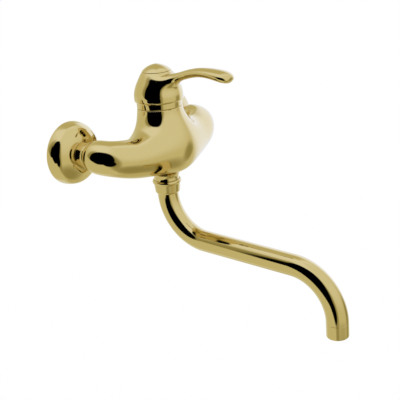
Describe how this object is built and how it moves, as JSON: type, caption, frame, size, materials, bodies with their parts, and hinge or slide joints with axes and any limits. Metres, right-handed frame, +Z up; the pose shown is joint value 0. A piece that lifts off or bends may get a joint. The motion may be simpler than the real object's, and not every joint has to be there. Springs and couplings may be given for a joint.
{
  "type": "wall-mounted basin mixer",
  "caption": "Wall-mounted single-lever basin mixer in polished gold finish, with a curved cast body, a domed lever cap, round wall flanges and a swinging S-shaped spout.",
  "frame": {"origin": "midway between the two wall inlets, on the wall's face", "axes": "+X along the wall from the left inlet to the right inlet as seen from the room, +Y into the wall, +Z up"},
  "size_m": [0.214, 0.2859, 0.2535],
  "materials": {
    "polished_gold": "mirror-polished gold-coloured plating over brass",
    "plain_brass": "turned brass, unplated",
    "acetal": "moulded acetal, off-white",
    "ceramic": "lapped alumina ceramic, white",
    "seal_rubber": "moulded nitrile rubber, black",
    "fibre": "compressed fibre gasket, red-brown",
    "stainless": "drawn stainless steel"
  },
  "bodies": {
    "body": {"body_casting": "polished_gold", "left_wall_flange": "polished_gold", "right_wall_flange": "polished_gold", "left_wall_connector": "plain_brass", "right_wall_connector": "plain_brass", "left_union_nut": "polished_gold", "right_union_nut": "polished_gold", "left_inlet_washer": "fibre", "right_inlet_washer": "fibre", "left_inlet_tail": "plain_brass", "right_inlet_tail": "plain_brass", "cartridge_housing": "acetal", "cartridge_base": "acetal", "base_port_seals": "seal_rubber", "disc_port_seals": "seal_rubber", "fixed_disc": "ceramic", "retaining_nut": "plain_brass", "nut_o_ring": "seal_rubber", "cover_ring": "polished_gold", "spout_nut": "polished_gold", "spout_slip_ring": "acetal", "spout_thrust_ring": "acetal"},
    "rotor": {"cartridge_rotor": "acetal", "pivot_pin": "stainless"},
    "disc": {"moving_disc": "ceramic", "disc_driver": "acetal"},
    "lever": {"lever_handle": "polished_gold", "cartridge_stem": "plain_brass", "stem_sleeve": "acetal", "handle_screw": "stainless", "dome_button": "polished_gold", "button_o_ring": "seal_rubber"},
    "spout": {"spout_tube": "polished_gold", "spout_tail": "plain_brass", "spout_o_rings": "seal_rubber", "aerator_housing": "polished_gold", "aerator_insert": "acetal", "aerator_screen": "stainless", "aerator_washer": "seal_rubber"}
  },
  "joints": [
    {"name": "temperature_turn", "type": "hinge", "parent": "body", "child": "rotor", "pos_m": [0, -0.06, 0.0304], "axis": [0, 0, 1], "range_deg": [-45, 45]},
    {"name": "flow_lift", "type": "hinge", "parent": "rotor", "child": "lever", "pos_m": [0, -0.06, 0.0304], "axis": [-1, 0, 0], "range_deg": [0, 22]},
    {"name": "disc_slide", "type": "slide", "parent": "rotor", "child": "disc", "axis": [0, -1, 0], "range_m": [0, 0.003]},
    {"name": "spout_swivel", "type": "hinge", "parent": "body", "child": "spout", "pos_m": [0, -0.06, -0.0504], "axis": [0, 0, 1], "range_deg": [-100, 100]}
  ],
  "couplings": [
    {"joint": "disc_slide", "follows": "flow_lift", "m_per_rad": 0.0078}
  ]
}
